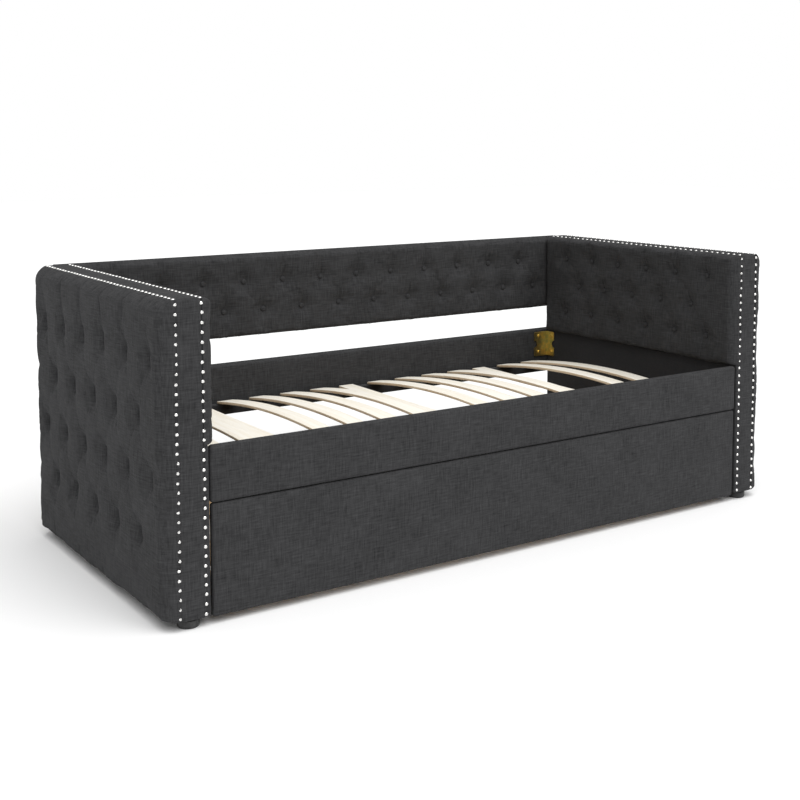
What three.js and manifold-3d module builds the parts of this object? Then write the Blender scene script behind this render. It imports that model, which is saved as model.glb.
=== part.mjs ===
// Upholstered twin daybed with a pull-out trundle. Millimetres, +Z up, +X to the sitter's left,
// front towards -Y. The origin is on the floor at the centre of the footprint.
import * as THREE from "three";
import { mergeVertices } from "three/addons/utils/BufferGeometryUtils.js";
import Module from "manifold-3d";

const wasm = await Module();
wasm.setup();

// Driving dimensions
const gap = 0.3; // clearance between pieces that touch
const halfDepth = 525; // front of the arms to the rear of the back panel, halved
const height = 840;
const footHeight = 26;
const armOuter = 1065; // edge of the front facing, from the centre
const armInner = 960; // inner edge of the front facing
const outerCrest = 1087; // crown of the outer arm pad
const innerCrest = 948; // crown of the inner arm pad
const linerFace = 962; // bare lining below the inner pad
const rearPlane = 466; // rear of the arms, front of the back panel and back rail
const railTop = 463;
const railBottom = 315;
const backRailBottom = 303;
const railThickness = 25;
const backHalf = 1017; // half length of the back panel and back rail
const backBottom = 555;
const backTop = 838;

// Upholstery and lining thicknesses
const facing = 13;
const rearFacing = 4;
const lining = 4;
const backPad = 20;
const backCover = 5;
const frameMember = 45;
const armSkin = 12;
const backSkin = 9;

// Slats
const slatCount = 15;
const slatPitch = 118.5;
const slatWidth = 58;
const slatThickness = 9;
const slatBow = 39; // rise of the middle over the ends
const slatShift = 16; // the row sits a little to one side
const slatEndGap = 12;
const flatEvery = 5; // every fifth slat is a flat cross bar
const firstFlat = 2;
const ledgerWidth = 30;
const ledgerTop = 338;
const frontLedgerBottom = 318;

// Trundle
const trundleHalf = 957;
const trundleTop = 313;
const trundleFloorGap = 19;
const trundlePanel = 24;
const trundleRear = 515;
const boardTop = 112;
const backBoardTop = 168;
const boardThickness = 18;
const sideOuter = 943;
const cleatTop = 95;
const cleatWidth = 20;
const deckSlats = 11;
const deckSlatWidth = 75;
const deckSlatThickness = 15;
const strapWidth = 30;
const strapThickness = 2;
const strapY = 300;

// Casters, feet and brackets
const wheelRadius = 25;
const wheelWidth = 18;
const axleRadius = 4;
const boreClearance = 0.1;
const cheek = 2.5;
const cheekGap = 1.5;
const casterPlate = 3;
const frontCasterY = -440;
const rearCasterY = 440;
const footRadius = 29;
const frontFootY = -488;
const rearFootY = 430;
const bracketHeight = 97;
const bracketBottom = 360;
const frontBracketDrop = 10;
const bracketRailLeg = 67;
const bracketArmLeg = 45;
const bracketSheet = 2.5;
const scallopRadius = 14;
const boltRadius = 6.5;
const boltHead = 4;

const armMiddle = (armOuter + armInner) / 2;
const frameBack = rearPlane - rearFacing - gap;
const frameFront = -halfDepth + facing + gap;
const frameTop = height - facing - gap;
const padPlane = 1047; // outer face of the arm frame
const frontRailBack = -halfDepth + railThickness;

// Materials
function finish(color, roughness, metalness = 0) {
  return new THREE.MeshStandardMaterial({ color, roughness, metalness });
}
const charcoal = finish(0x42434a, 0.95);
const blackCloth = finish(0x17171a, 0.95);
const birch = finish(0xeee6d4, 0.6);
const pine = finish(0xc9a878, 0.7);
const blackPlastic = finish(0x101012, 0.45);
const greyRubber = finish(0x3a3a3d, 0.8);
const yellowZinc = finish(0xb59a4a, 0.35, 1);

// Geometry helpers

// Closed prism of a rounded rectangle between two corners, along one axis, with eased end faces.
function slab(lo, hi, along = "x", corner = 0, ease = 0) {
  const order = { x: [1, 2, 0], y: [2, 0, 1], z: [0, 1, 2] }[along];
  const [wide, tall, deep] = order.map((axis) => hi[axis] - lo[axis]);
  const shape = new THREE.Shape();
  if (corner > 0) {
    shape.absarc(wide - corner, corner, corner, -Math.PI / 2, 0);
    shape.absarc(wide - corner, tall - corner, corner, 0, Math.PI / 2);
    shape.absarc(corner, tall - corner, corner, Math.PI / 2, Math.PI);
    shape.absarc(corner, corner, corner, Math.PI, 1.5 * Math.PI);
  } else {
    shape.moveTo(0, 0).lineTo(wide, 0).lineTo(wide, tall).lineTo(0, tall);
  }
  const geometry = new THREE.ExtrudeGeometry(shape, {
    depth: deep - 2 * ease,
    curveSegments: 3,
    bevelEnabled: ease > 0,
    bevelSize: ease,
    bevelOffset: -ease,
    bevelThickness: ease,
    bevelSegments: 2,
  });
  geometry.translate(0, 0, ease);
  return toAxis(geometry, along).translate(lo[0], lo[1], lo[2]);
}

// Turns a shape drawn in XY and extruded along Z so that it is extruded along the given axis.
function toAxis(geometry, along) {
  const x = new THREE.Vector3(1, 0, 0);
  const y = new THREE.Vector3(0, 1, 0);
  const z = new THREE.Vector3(0, 0, 1);
  const turn = new THREE.Matrix4();
  if (along === "x") turn.makeBasis(y, z, x);
  if (along === "y") turn.makeBasis(z, x, y);
  return geometry.applyMatrix4(turn);
}

function box(lo, hi) {
  return slab(lo, hi, "z");
}

// Joins closed geometries into one body.
function fuse(...geometries) {
  let joined = null;
  for (const geometry of geometries) {
    const solid = toSolid(geometry);
    joined = joined ? joined.add(solid) : solid;
  }
  const mesh = joined.getMesh();
  const result = new THREE.BufferGeometry();
  result.setAttribute("position", new THREE.BufferAttribute(mesh.vertProperties, 3));
  result.setIndex(new THREE.BufferAttribute(mesh.triVerts, 1));
  return result;
}

function toSolid(geometry) {
  const bare = geometry.clone();
  bare.deleteAttribute("normal");
  bare.deleteAttribute("uv");
  const merged = mergeVertices(bare, 1e-3);
  const triVerts = new Uint32Array(merged.index.array);
  const vertProperties = merged.attributes.position.array;
  return new wasm.Manifold(new wasm.Mesh({ numProp: 3, vertProperties, triVerts }));
}

function lathe(profile, segments) {
  const points = profile.map(([r, h]) => new THREE.Vector2(r, h));
  return new THREE.LatheGeometry(points, segments);
}

// Board frame: four members round the edge and a skin on one face, at the high or low end of the
// thin axis.
function panelFrame(lo, hi, thin, member, skin, skinHigh) {
  const [u, v] = [0, 1, 2].filter((axis) => axis !== thin);
  const ring = [];
  for (const axis of [u, v]) {
    for (const end of [0, 1]) {
      const low = [...lo];
      const high = [...hi];
      if (end) low[axis] = hi[axis] - member;
      else high[axis] = lo[axis] + member;
      ring.push(box(low, high));
    }
  }
  const skinLo = [...lo];
  const skinHi = [...hi];
  if (skinHigh) skinLo[thin] = hi[thin] - skin;
  else skinHi[thin] = lo[thin] + skin;
  return fuse(...ring, box(skinLo, skinHi));
}

function add(group, name, geometry, material) {
  const mesh = new THREE.Mesh(geometry, material);
  mesh.name = name;
  group.add(mesh);
  return mesh;
}

// Sub-parts

// One arm, drawn on the +X side and mirrored by its group for the other.
function addArm(side, sideName) {
  const arm = new THREE.Group();
  arm.scale.x = side;
  const name = (piece) => sideName + "_arm_" + piece;
  const base = footHeight + gap;
  const frame = panelFrame(
    [linerFace + lining + gap, frameFront, base],
    [padPlane - gap, frameBack, frameTop],
    0,
    frameMember,
    armSkin,
    true,
  );
  add(arm, name("frame"), frame, pine);
  const outerPad = slab([padPlane, frameFront, footHeight], [outerCrest, frameBack, frameTop], "x", 16, 12);
  add(arm, name("outer_pad"), outerPad, charcoal);
  const padBase = railTop + gap;
  const innerHigh = [linerFace + lining, frameBack, frameTop];
  add(arm, name("inner_pad"), slab([innerCrest, frameFront, padBase], innerHigh, "x", 8, 5), charcoal);
  const liner = box([linerFace, frameFront, footHeight], [linerFace + lining, frameBack, railTop]);
  add(arm, name("liner"), liner, blackCloth);
  const front = slab([armInner, -halfDepth, footHeight], [armOuter, frameFront - gap, height], "y", 8, 3);
  add(arm, name("front_facing"), front, charcoal);
  const top = slab([armInner, frameFront, frameTop + gap], [armOuter, rearPlane, height], "y", 3);
  add(arm, name("top_facing"), top, charcoal);
  const rear = box([linerFace, frameBack + gap, footHeight], [armOuter, rearPlane, frameTop]);
  add(arm, name("rear_facing"), rear, charcoal);
  return arm;
}

function addFeet(bed) {
  const profile = [
    [0, 0],
    [footRadius - 5, 0],
    [footRadius - 2, 2],
    [footRadius, footHeight - 4],
    [footRadius, footHeight],
    [0, footHeight],
  ];
  for (const [x, xName] of [[-armMiddle, "left"], [armMiddle, "right"]]) {
    for (const [y, yName] of [[frontFootY, "front"], [rearFootY, "rear"]]) {
      const foot = add(bed, yName + "_" + xName + "_foot", lathe(profile, 24), blackPlastic);
      foot.rotation.x = Math.PI / 2;
      foot.position.set(x, y, 0);
    }
  }
}

function addBack(bed) {
  const padBack = rearPlane + gap + backPad;
  const coverFront = halfDepth - backCover;
  const pad = slab([-backHalf, rearPlane + gap, backBottom], [backHalf, padBack, backTop], "y", 10, 5);
  add(bed, "back_pad", pad, charcoal);
  const frameLo = [-backHalf + 3, padBack + gap, backBottom + 3];
  const frameHi = [backHalf - 3, coverFront - gap, backTop - 3];
  add(bed, "back_frame", panelFrame(frameLo, frameHi, 1, frameMember, backSkin, false), pine);
  const cover = slab([-backHalf, coverFront, backBottom], [backHalf, halfDepth, backTop], "y", 10, 2);
  add(bed, "back_cover", cover, charcoal);
}

function addRails(bed) {
  const half = armInner - gap;
  const front = slab([-half, -halfDepth, railBottom], [half, frontRailBack, railTop], "x", 4);
  add(bed, "front_rail", front, charcoal);
  const backLo = [-backHalf, rearPlane + gap, backRailBottom];
  add(bed, "back_rail", slab(backLo, [backHalf, halfDepth, railTop], "x", 6, 3), charcoal);
  const ledgerHalf = armInner - 10;
  const frontStart = frontRailBack + gap;
  const frontLedger = box(
    [-ledgerHalf, frontStart, frontLedgerBottom],
    [ledgerHalf, frontStart + ledgerWidth, ledgerTop],
  );
  add(bed, "front_slat_ledger", frontLedger, blackCloth);
  const backLedger = box(
    [-ledgerHalf, rearPlane - ledgerWidth, backRailBottom],
    [ledgerHalf, rearPlane, ledgerTop],
  );
  add(bed, "back_slat_ledger", backLedger, blackCloth);
}

// Plywood slat on its two ledgers: a bowed one is an arc, a cross bar is straight.
function slatGeometry(bow) {
  const low = frontRailBack + slatEndGap;
  const high = rearPlane - slatEndGap;
  const middle = (low + high) / 2;
  const halfSpan = (high - low) / 2;
  const steps = bow > 0 ? 16 : 1;
  const rise = (y) => bow * (1 - ((y - middle) / halfSpan) ** 2);
  const shape = new THREE.Shape();
  for (let i = 0; i <= steps; i++) {
    const y = low + ((high - low) * i) / steps;
    if (i === 0) shape.moveTo(y, rise(y));
    else shape.lineTo(y, rise(y));
  }
  for (let i = steps; i >= 0; i--) {
    const y = low + ((high - low) * i) / steps;
    shape.lineTo(y, rise(y) + slatThickness);
  }
  const geometry = new THREE.ExtrudeGeometry(shape, { depth: slatWidth, bevelEnabled: false });
  return toAxis(geometry.translate(0, 0, -slatWidth / 2), "x");
}

function addSlats(bed) {
  for (let i = 0; i < slatCount; i++) {
    const flat = i % flatEvery === firstFlat;
    const kind = flat ? "cross_bar_" : "slat_";
    const number = String(i + 1).padStart(2, "0");
    const slat = add(bed, kind + number, slatGeometry(flat ? 0 : slatBow), birch);
    slat.position.set((i - (slatCount - 1) / 2) * slatPitch + slatShift, 0, ledgerTop + gap);
  }
}

// Sheet-metal leg in the XZ plane with a scalloped free edge at x = -width.
function bracketLeg(width) {
  const shape = new THREE.Shape();
  const middle = bracketHeight / 2;
  shape.moveTo(0, 0);
  shape.lineTo(0, bracketHeight);
  shape.lineTo(-width + 4, bracketHeight);
  shape.lineTo(-width, bracketHeight - 4);
  shape.lineTo(-width, middle + scallopRadius);
  shape.absarc(-width, middle, scallopRadius, Math.PI / 2, -Math.PI / 2, true);
  shape.lineTo(-width, 4);
  shape.lineTo(-width + 4, 0);
  const options = { depth: bracketSheet, bevelEnabled: false, curveSegments: 6 };
  return new THREE.ExtrudeGeometry(shape, options).rotateX(Math.PI / 2);
}

// Angle bracket with its corner at the origin and its legs towards -X and -Y, bolt heads included.
function bracketGeometry() {
  const railLeg = bracketLeg(bracketRailLeg);
  const armLeg = bracketLeg(bracketArmLeg).rotateZ(Math.PI / 2).translate(-bracketSheet, 0, 0);
  const bolts = [];
  for (const z of [bracketHeight * 0.17, bracketHeight * 0.83]) {
    const head = new THREE.CylinderGeometry(boltRadius, boltRadius, boltHead + 1, 12);
    const onRail = head.clone().translate(-bracketRailLeg * 0.62, -bracketSheet - boltHead / 2, z);
    const onArm = head.clone().rotateZ(Math.PI / 2);
    onArm.translate(-bracketSheet - boltHead / 2, -bracketArmLeg * 0.62, z);
    bolts.push(onRail, onArm);
  }
  return fuse(railLeg, armLeg, ...bolts);
}

function addBrackets(bed) {
  const geometry = bracketGeometry();
  const planes = [
    ["rear", rearPlane, 1, bracketBottom],
    ["front", frontRailBack, -1, bracketBottom - frontBracketDrop],
  ];
  for (const [yName, y, facingSign, bottom] of planes) {
    for (const [side, xName] of [[-1, "left"], [1, "right"]]) {
      const bracket = add(bed, yName + "_" + xName + "_bracket", geometry, yellowZinc);
      bracket.scale.set(side, facingSign, 1);
      bracket.position.set(side * (linerFace - gap), y - facingSign * gap, bottom);
    }
  }
}

// Trundle: an upholstered front board on a low box of boards with a slatted deck.
function addTrundle(bed) {
  const front = slab(
    [-trundleHalf, -halfDepth, trundleFloorGap],
    [trundleHalf, -halfDepth + trundlePanel, trundleTop],
    "y",
    12,
    3,
  );
  add(bed, "trundle_front_panel", front, charcoal);
  const boardBottom = wheelRadius + 33 + gap;
  const start = -halfDepth + trundlePanel + gap;
  for (const [side, sideName] of [[-1, "left"], [1, "right"]]) {
    const board = box([sideOuter - boardThickness, start, boardBottom], [sideOuter, trundleRear, boardTop]);
    add(bed, "trundle_" + sideName + "_board", board, pine).scale.x = side;
  }
  const half = sideOuter - boardThickness - gap;
  const frontEdge = start + boardThickness;
  const backEdge = trundleRear - boardThickness;
  const frontRail = fuse(
    box([-half, start, boardBottom], [half, frontEdge, boardTop]),
    box([-half, start, boardBottom], [half, frontEdge + cleatWidth, cleatTop]),
  );
  add(bed, "trundle_front_batten", frontRail, pine);
  const backBoard = fuse(
    box([-half, backEdge, boardBottom], [half, trundleRear, backBoardTop]),
    box([-half, backEdge - cleatWidth, boardBottom], [half, trundleRear, cleatTop]),
  );
  add(bed, "trundle_back_board", backBoard, pine);
  addDeck(bed, half, frontEdge + gap, backEdge - gap);
}

// Roll-out deck: slats joined by two webbing straps under them.
function addDeck(bed, half, low, high) {
  const base = cleatTop + gap;
  const pieces = [];
  const pitch = (2 * half - 60 - deckSlatWidth) / (deckSlats - 1);
  const first = -half + 30;
  for (let i = 0; i < deckSlats; i++) {
    const x = first + i * pitch;
    pieces.push(box([x, low, base], [x + deckSlatWidth, high, base + deckSlatThickness]));
  }
  for (const y of [-strapY, strapY - 60]) {
    pieces.push(
      box(
        [first, y - strapWidth / 2, base - strapThickness / 2],
        [first + (deckSlats - 1) * pitch + deckSlatWidth, y + strapWidth / 2, base + strapThickness / 2],
      ),
    );
  }
  add(bed, "trundle_deck_slats", fuse(...pieces), birch);
}

// Fixed caster: a plate, two cheeks and the axle as one body, and a wheel that turns on the axle.
function housingGeometry() {
  const inner = wheelWidth / 2 + cheekGap;
  const outer = inner + cheek;
  const top = wheelRadius + 33;
  const plate = box([-outer, -28, top - casterPlate], [outer, 28, top]);
  const cheeks = [-1, 1].map((side) => {
    const low = side < 0 ? -outer : inner;
    return box([low, -14, wheelRadius - 10], [low + cheek, 14, top - casterPlate / 2]);
  });
  const axle = new THREE.CylinderGeometry(axleRadius, axleRadius, 2 * outer + 3, 16);
  axle.rotateZ(Math.PI / 2).translate(0, 0, wheelRadius);
  return fuse(plate, ...cheeks, axle);
}

function wheelGeometry() {
  const half = wheelWidth / 2;
  const bore = axleRadius + boreClearance;
  const profile = [
    [bore, -half],
    [wheelRadius - 2, -half],
    [wheelRadius, -half + 2],
    [wheelRadius, half - 2],
    [wheelRadius - 2, half],
    [bore, half],
    [bore, -half],
  ];
  return lathe(profile, 32).rotateZ(-Math.PI / 2);
}

function addCasters(bed) {
  const x = sideOuter - boardThickness / 2;
  for (const [y, yName] of [[frontCasterY, "front"], [rearCasterY, "rear"]]) {
    for (const [side, sideName] of [[-1, "left"], [1, "right"]]) {
      const place = yName + "_" + sideName + "_caster_";
      add(bed, place + "fork", housingGeometry(), blackPlastic).position.set(side * x, y, 0);
      add(bed, place + "wheel", wheelGeometry(), greyRubber).position.set(side * x, y, wheelRadius);
    }
  }
}

const daybed = new THREE.Group();
daybed.add(addArm(-1, "left"), addArm(1, "right"));
addFeet(daybed);
addBack(daybed);
addRails(daybed);
addSlats(daybed);
addBrackets(daybed);
addTrundle(daybed);
addCasters(daybed);

export default daybed;
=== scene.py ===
import math

import bpy
import numpy as np
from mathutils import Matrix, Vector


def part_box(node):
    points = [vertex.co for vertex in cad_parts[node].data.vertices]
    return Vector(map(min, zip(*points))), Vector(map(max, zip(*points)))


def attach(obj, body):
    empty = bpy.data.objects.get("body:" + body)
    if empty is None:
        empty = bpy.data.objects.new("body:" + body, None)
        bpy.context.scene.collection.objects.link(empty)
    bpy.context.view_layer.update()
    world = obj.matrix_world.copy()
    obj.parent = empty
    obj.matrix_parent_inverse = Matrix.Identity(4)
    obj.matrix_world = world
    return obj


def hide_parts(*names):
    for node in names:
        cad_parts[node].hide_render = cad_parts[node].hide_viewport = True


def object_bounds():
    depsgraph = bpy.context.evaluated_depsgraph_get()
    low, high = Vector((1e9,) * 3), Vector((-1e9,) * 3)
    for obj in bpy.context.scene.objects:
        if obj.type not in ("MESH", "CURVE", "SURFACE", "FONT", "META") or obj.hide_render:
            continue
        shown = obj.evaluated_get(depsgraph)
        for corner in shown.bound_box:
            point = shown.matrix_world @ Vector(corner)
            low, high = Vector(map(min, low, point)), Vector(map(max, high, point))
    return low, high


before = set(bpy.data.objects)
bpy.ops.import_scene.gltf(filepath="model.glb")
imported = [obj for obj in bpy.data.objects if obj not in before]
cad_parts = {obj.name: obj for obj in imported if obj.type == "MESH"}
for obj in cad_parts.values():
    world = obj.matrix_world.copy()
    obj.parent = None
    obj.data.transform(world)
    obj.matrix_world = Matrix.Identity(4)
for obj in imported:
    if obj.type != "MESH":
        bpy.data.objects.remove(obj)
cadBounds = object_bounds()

scene = bpy.context.scene
dice = np.random.default_rng(27)
quarter = math.pi / 2

viewSet = {
    "place": (-2.268, -3.383, 1.237),
    "turn": 0.6053,  # radians from +Y towards +X
    "tilt": 0.0906,  # radians below the horizon
    "lens": 56.71,
    "shift": (-0.0385, -0.1876),
}
lightSet = {
    "sky": 0.62,  # strength of the white surround as light
    "backdrop": 1.0,  # strength of the surround as it shows
    "sun": 2.6,
    "sunAngle": 1.25,
    "sunTurn": (0.54, 0.03, 0.0),
    "floor": (0.9, 0.9, 0.9, 1),
    "floorRough": 0.9,
    "floorGloss": 0.1,
    "floorHalf": 20.0,
}


def put(tree, kind, inputs=None, **props):
    made = tree.nodes.new("ShaderNode" + kind)
    for key, value in props.items():
        setattr(made, key, value)
    for key, value in (inputs or {}).items():
        if isinstance(value, bpy.types.NodeSocket):
            tree.links.new(value, made.inputs[key])
        else:
            made.inputs[key].default_value = value
    return made


def calc(tree, operation, *values):
    return put(tree, "Math", dict(enumerate(values)), operation=operation).outputs[0]


def mixed(tree, share, first, second):
    # sockets 0, 6, 7 and output 2 are the colour ones of a Mix node
    return put(tree, "Mix", {0: share, 6: first, 7: second}, data_type="RGBA").outputs[2]


def remap(tree, value, low, high, newLow, newHigh):
    given = {"Value": value, 1: low, 2: high, 3: newLow, 4: newHigh}
    return put(tree, "MapRange", given).outputs[0]


def noise(tree, place, scale, detail, **more):
    return put(tree, "TexNoise", {"Vector": place, "Scale": scale, "Detail": detail, **more}).outputs["Fac"]


def setCamera():
    camera = bpy.data.objects.new("camera", bpy.data.cameras.new("camera"))
    scene.collection.objects.link(camera)
    camera.location = viewSet["place"]
    camera.rotation_euler = (quarter - viewSet["tilt"], 0, -viewSet["turn"])
    camera.data.lens = viewSet["lens"]
    camera.data.shift_x, camera.data.shift_y = viewSet["shift"]
    scene.camera = camera
    scene.view_settings.view_transform = "Standard"


def lightSky():
    # the surround lights with one strength and shows with another
    world = bpy.data.worlds.new("surround")
    scene.world = world
    world.use_nodes = True
    tree = world.node_tree
    tree.nodes.clear()
    seen = put(tree, "Background", {"Color": (1, 1, 1, 1), "Strength": lightSet["backdrop"]})
    lit = put(tree, "Background", {"Color": (1, 1, 1, 1), "Strength": lightSet["sky"]})
    ray = put(tree, "LightPath").outputs["Is Camera Ray"]
    both = put(tree, "MixShader", {0: ray, 1: lit.outputs[0], 2: seen.outputs[0]})
    put(tree, "OutputWorld", {"Surface": both.outputs[0]})


def hangSun():
    sun = bpy.data.lights.new("softKey", "SUN")
    sun.energy, sun.angle = lightSet["sun"], lightSet["sunAngle"]
    lamp = bpy.data.objects.new("softKey", sun)
    lamp.rotation_euler = lightSet["sunTurn"]
    scene.collection.objects.link(lamp)


def layFloor():
    half = lightSet["floorHalf"]
    edge = [(-half, -half, 0), (half, -half, 0), (half, half, 0), (-half, half, 0)]
    mesh = bpy.data.meshes.new("floor")
    mesh.from_pydata(edge, [], [(0, 1, 2, 3)])
    floor = bpy.data.objects.new("floor", mesh)
    scene.collection.objects.link(floor)
    paint = bpy.data.materials.new("floorPaper")
    paint.use_nodes = True
    shader = paint.node_tree.nodes["Principled BSDF"]
    shader.inputs["Base Color"].default_value = lightSet["floor"]
    shader.inputs["Roughness"].default_value = lightSet["floorRough"]
    shader.inputs["Specular IOR Level"].default_value = lightSet["floorGloss"]
    mesh.materials.append(paint)


setCamera()
lightSky()
hangSun()
layFloor()
print("camera, lights and floor are in place")


def effect(name, inputs, build):
    # a node group that gives colour, roughness and height from named inputs
    tree = bpy.data.node_groups.new(name, "ShaderNodeTree")
    for label, kind, value in inputs:
        made = tree.interface.new_socket(label, in_out="INPUT", socket_type="NodeSocket" + kind)
        if value is not None:
            made.default_value = value
    for label, kind in (("Color", "Color"), ("Roughness", "Float"), ("Height", "Float")):
        tree.interface.new_socket(label, in_out="OUTPUT", socket_type="NodeSocket" + kind)
    start, end = tree.nodes.new("NodeGroupInput"), tree.nodes.new("NodeGroupOutput")
    for label, value in build(tree, start.outputs).items():
        tree.links.new(value, end.inputs[label])
    return tree


weaving = {
    "driftScale": 38.0,
    "drift": (0.0016, 0.0016, 0.0),  # how far a thread wanders, in metres
    "slubs": (0.45, 0.03),  # noise across and along a thread, per thread
    "longSlubs": (0.22, 0.022),
    "levels": (0.0, 3.0, 6.0, 9.0),  # slices of the noise, so that no two layers repeat
    "showUnder": 0.25,  # share of the lower thread's tone that shows
    # painted shade in the weave: the next value lightens raised threads and darkens sunken ones
    "paintedThreadShade": 0.18,  # how much a raised thread lightens
    "cloudScale": 6.0,
    "cloud": 0.08,
    "rough": (0.92, -0.12),  # at the dark end, and its change to the light end
    "toneHeight": 0.35,
}


def drawnOut(tree, u, v, alongU, alongV, level):
    # noise drawn out along one thread direction
    across, up = calc(tree, "MULTIPLY", u, alongU), calc(tree, "MULTIPLY", v, alongV)
    return noise(tree, put(tree, "CombineXYZ", {0: across, 1: up, 2: level}).outputs[0], 1.0, 2.0)


def plainWeave(tree, given):
    # warp stands up as cos(pi u)^2 where the crossing's parity cos(pi u) cos(pi v) is positive,
    # weft as cos(pi v)^2 where it is negative; a thread's tone is noise drawn out along it
    s = weaving
    wander = put(tree, "TexNoise", {"Vector": given["Vector"], "Scale": s["driftScale"], "Detail": 2.0})
    drifting = {0: wander.outputs["Color"], 1: s["drift"], 2: given["Vector"]}
    moved = put(tree, "VectorMath", drifting, operation="MULTIPLY_ADD").outputs[0]
    perMetre = calc(tree, "DIVIDE", 1.0, given["Thread"])
    counted = put(tree, "VectorMath", {0: moved, "Scale": perMetre}, operation="SCALE").outputs[0]
    split = put(tree, "SeparateXYZ", {0: counted})
    u, v = split.outputs[0], split.outputs[1]
    waveU = calc(tree, "COSINE", calc(tree, "MULTIPLY", u, math.pi))
    waveV = calc(tree, "COSINE", calc(tree, "MULTIPLY", v, math.pi))
    over = calc(tree, "MULTIPLY_ADD", calc(tree, "MULTIPLY", waveU, waveV), 0.5, 0.5)
    warp = calc(tree, "MULTIPLY", calc(tree, "MULTIPLY", waveU, waveU), over)
    weft = calc(tree, "MULTIPLY", calc(tree, "MULTIPLY", waveV, waveV), calc(tree, "SUBTRACT", 1.0, over))
    height = calc(tree, "MAXIMUM", warp, weft)
    warpTone = calc(
        tree, "ADD",
        drawnOut(tree, u, v, *s["slubs"], s["levels"][0]),
        drawnOut(tree, u, v, *s["longSlubs"], s["levels"][1]),
    )
    weftTone = calc(
        tree, "ADD",
        drawnOut(tree, u, v, *s["slubs"][::-1], s["levels"][2]),
        drawnOut(tree, u, v, *s["longSlubs"][::-1], s["levels"][3]),
    )
    onTop = calc(tree, "GREATER_THAN", warp, weft)
    share = calc(tree, "MULTIPLY_ADD", onTop, 1 - 2 * s["showUnder"], s["showUnder"])
    picked = put(tree, "Mix", {0: share, 2: weftTone, 3: warpTone}, data_type="FLOAT").outputs[0]
    tone = calc(tree, "MULTIPLY_ADD", calc(tree, "SUBTRACT", picked, 1.0), given["Contrast"], 0.5)
    # painted shade: the tone is lightened where a thread rises and darkened where it sinks, as light and
    # shade would fall on the weave
    paintedShadeTone = calc(tree, "MULTIPLY_ADD", calc(tree, "SUBTRACT", height, 0.5), s["paintedThreadShade"], tone)
    cloud = noise(tree, given["Vector"], s["cloudScale"], 4.0)
    clouded = calc(tree, "ADD", paintedShadeTone, remap(tree, cloud, 0.3, 0.7, -s["cloud"], s["cloud"]))
    shade = put(tree, "Clamp", {0: clouded}).outputs[0]
    return {
        "Color": mixed(tree, shade, given["Dark"], given["Light"]),
        "Roughness": calc(tree, "MULTIPLY_ADD", shade, s["rough"][1], s["rough"][0]),
        "Height": calc(tree, "MULTIPLY_ADD", picked, s["toneHeight"], height),
    }


graining = {
    "bands": (26.0, 1.1, 26.0),  # noise per metre along X, Y and Z: the grain runs along Y
    "fibres": (420.0, 9.0, 420.0),
    "waves": 34.0,
    "lineTone": (0.22, 0.25),  # share and base of the growth lines
    "fibreTone": 0.5,
    "fibreRough": 0.25,
    "lineHeight": -0.3,
}


def woodGrain(tree, given):
    # growth lines are sin(k noise) and fibres are fine noise, both drawn out along Y
    s = graining
    place = given["Vector"]
    wide = put(tree, "VectorMath", {0: place, 1: s["bands"]}, operation="MULTIPLY").outputs[0]
    fine = put(tree, "VectorMath", {0: place, 1: s["fibres"]}, operation="MULTIPLY").outputs[0]
    bands = noise(tree, wide, 1.0, 5.0, Distortion=0.6)
    lines = calc(tree, "SINE", calc(tree, "MULTIPLY", bands, s["waves"]))
    fibres = noise(tree, fine, 1.0, 3.0)
    lineMark = calc(tree, "MULTIPLY_ADD", lines, *s["lineTone"])
    mark = calc(tree, "ADD", lineMark, calc(tree, "MULTIPLY", fibres, s["fibreTone"]))
    shade = put(tree, "Clamp", {0: mark}).outputs[0]
    return {
        "Color": mixed(tree, shade, given["Light"], given["Dark"]),
        "Roughness": calc(tree, "MULTIPLY_ADD", fibres, s["fibreRough"], given["Rough"]),
        "Height": calc(tree, "MULTIPLY_ADD", lines, s["lineHeight"], fibres),
    }


wearing = {"dust": 14.0, "scuff": 90.0, "wornFrom": (0.2, 0.42), "scuffRough": 0.22, "pebbleHeight": 0.6}


def handling(tree, given):
    # dust and scuffs multiplied give the worn places; small pebbles give the height
    s = wearing
    dust = noise(tree, given["Vector"], s["dust"], 6.0)
    scuff = noise(tree, given["Vector"], s["scuff"], 4.0, Roughness=0.7)
    pebble = put(tree, "TexVoronoi", {"Vector": given["Vector"], "Scale": given["Pebble"]})
    worn = remap(tree, calc(tree, "MULTIPLY", dust, scuff), *s["wornFrom"], 0.0, 1.0)
    return {
        "Color": mixed(tree, worn, given["Base"], given["Worn"]),
        "Roughness": calc(tree, "MULTIPLY_ADD", scuff, s["scuffRough"], given["Rough"]),
        "Height": calc(tree, "MULTIPLY_ADD", pebble.outputs["Distance"], s["pebbleHeight"], scuff),
    }


placeSocket = ("Vector", "Vector", None)
effects = {
    "weave": effect("plainWeave", [
        placeSocket, ("Thread", "Float", 0.001), ("Contrast", "Float", 1.0),
        ("Dark", "Color", None), ("Light", "Color", None),
    ], plainWeave),
    "grain": effect("woodGrain", [
        placeSocket, ("Rough", "Float", 0.5), ("Dark", "Color", None), ("Light", "Color", None),
    ], woodGrain),
    "handling": effect("handling", [
        placeSocket, ("Pebble", "Float", 900.0), ("Rough", "Float", 0.4),
        ("Base", "Color", None), ("Worn", "Color", None),
    ], handling),
}


usualBump = {"lumps": 160.0, "soft": 0.1, "softDepth": 0.002}


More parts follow.
